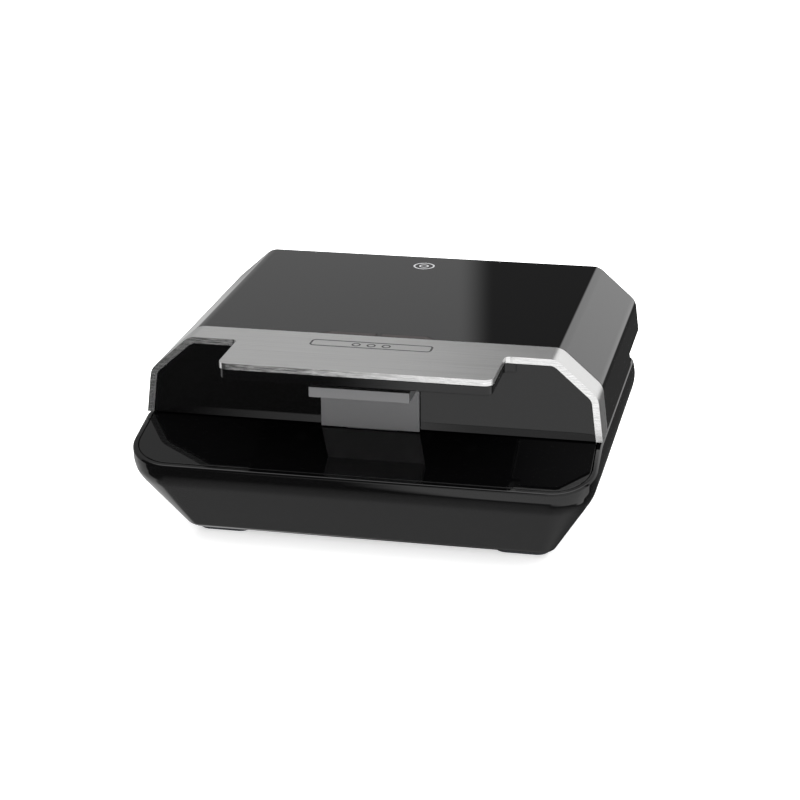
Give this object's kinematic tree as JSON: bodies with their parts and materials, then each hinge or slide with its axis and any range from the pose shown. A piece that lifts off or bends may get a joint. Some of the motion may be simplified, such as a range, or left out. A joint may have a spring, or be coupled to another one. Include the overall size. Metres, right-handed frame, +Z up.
{
  "type": "donut maker",
  "caption": "Countertop donut maker: a clamshell with a steel-banded lid, a squeeze latch under the handle and two hinged non-stick plates with ring moulds.",
  "frame": {"origin": "on the table, under the middle of the closed appliance's bounding box", "axes": "+X to the right of someone facing the handle, +Y to the back where the hinges are, +Z up"},
  "size_m": [0.2622, 0.2265, 0.1143],
  "materials": {
    "gloss_black_housing": "polished black",
    "matt_black_moulding": "fine matt black",
    "hinge_bracket_metal": "satin black paint",
    "bright_steel": "bright zinc plate",
    "brushed_steel_band": "brushed side to side",
    "grey_latch_plastic": "satin grey",
    "foot_rubber": "dark grey-blue",
    "nonstick_aluminium": "charcoal non-stick coating",
    "reflector_sheet": "mill finish",
    "element_sheath": "heat-dulled steel sheath",
    "smoked_lens": "smoked dark red, polished",
    "lamp_glass": "clear glass",
    "ceramic": "unglazed ceramic",
    "wire_sleeve": "woven glass-fibre sleeve",
    "lamp_board": "bare resin board"
  },
  "bodies": {
    "base": {"base_housing": "gloss_black_housing", "base_deck": "gloss_black_housing", "bottom_cover": "matt_black_moulding", "hinge_bracket_left": "hinge_bracket_metal", "hinge_bracket_right": "hinge_bracket_metal", "bottom_screw_1": "bright_steel", "bottom_screw_2": "bright_steel", "bottom_screw_3": "bright_steel", "bottom_screw_4": "bright_steel", "lower_plate_screw_1": "bright_steel", "lower_plate_screw_2": "bright_steel", "lower_plate_screw_3": "bright_steel", "lower_plate_screw_4": "bright_steel", "latch_keeper": "bright_steel", "hinge_pin_left": "bright_steel", "hinge_pin_right": "bright_steel", "thermostat": "bright_steel", "foot_front_left": "foot_rubber", "foot_front_right": "foot_rubber", "foot_rear_left": "foot_rubber", "foot_rear_right": "foot_rubber", "cord_bush": "foot_rubber", "lower_donut_plate": "nonstick_aluminium", "lower_reflector": "reflector_sheet", "lower_heating_element": "element_sheath", "terminal_block": "ceramic", "live_lead": "wire_sleeve", "neutral_lead": "wire_sleeve", "thermal_fuse": "wire_sleeve"},
    "lid": {"lid_cover": "gloss_black_housing", "steel_band": "brushed_steel_band", "handle_grip": "gloss_black_housing", "handle_screw_1": "bright_steel", "handle_screw_2": "bright_steel", "lid_front_panel": "gloss_black_housing", "lid_liner": "matt_black_moulding", "liner_screw_1": "bright_steel", "liner_screw_2": "bright_steel", "liner_screw_3": "bright_steel", "liner_screw_4": "bright_steel", "indicator_lens_left": "smoked_lens", "indicator_lens_right": "smoked_lens", "indicator_lamp_left": "lamp_glass", "indicator_lamp_right": "lamp_glass", "lamp_board": "lamp_board", "lid_lead": "wire_sleeve", "hinge_arm_left": "bright_steel", "hinge_arm_right": "bright_steel", "latch_pin": "bright_steel", "latch_spring": "bright_steel", "upper_donut_plate": "nonstick_aluminium", "upper_heating_element": "element_sheath", "upper_reflector": "reflector_sheet", "upper_plate_screw_1": "bright_steel", "upper_plate_screw_2": "bright_steel", "upper_plate_screw_3": "bright_steel", "upper_plate_screw_4": "bright_steel"},
    "latch": {"latch": "grey_latch_plastic"}
  },
  "joints": [
    {"name": "lid_hinge", "type": "hinge", "parent": "base", "child": "lid", "pos_m": [0, 0.098, 0.065], "axis": [-1, 0, 0], "range_deg": [0, 105]},
    {"name": "latch_squeeze", "type": "hinge", "parent": "lid", "child": "latch", "pos_m": [0, -0.0615, 0.0965], "axis": [-1, 0, 0], "range_deg": [0, 6], "stiffness_Nm_per_rad": 0.6, "springref_deg": -5.73}
  ]
}
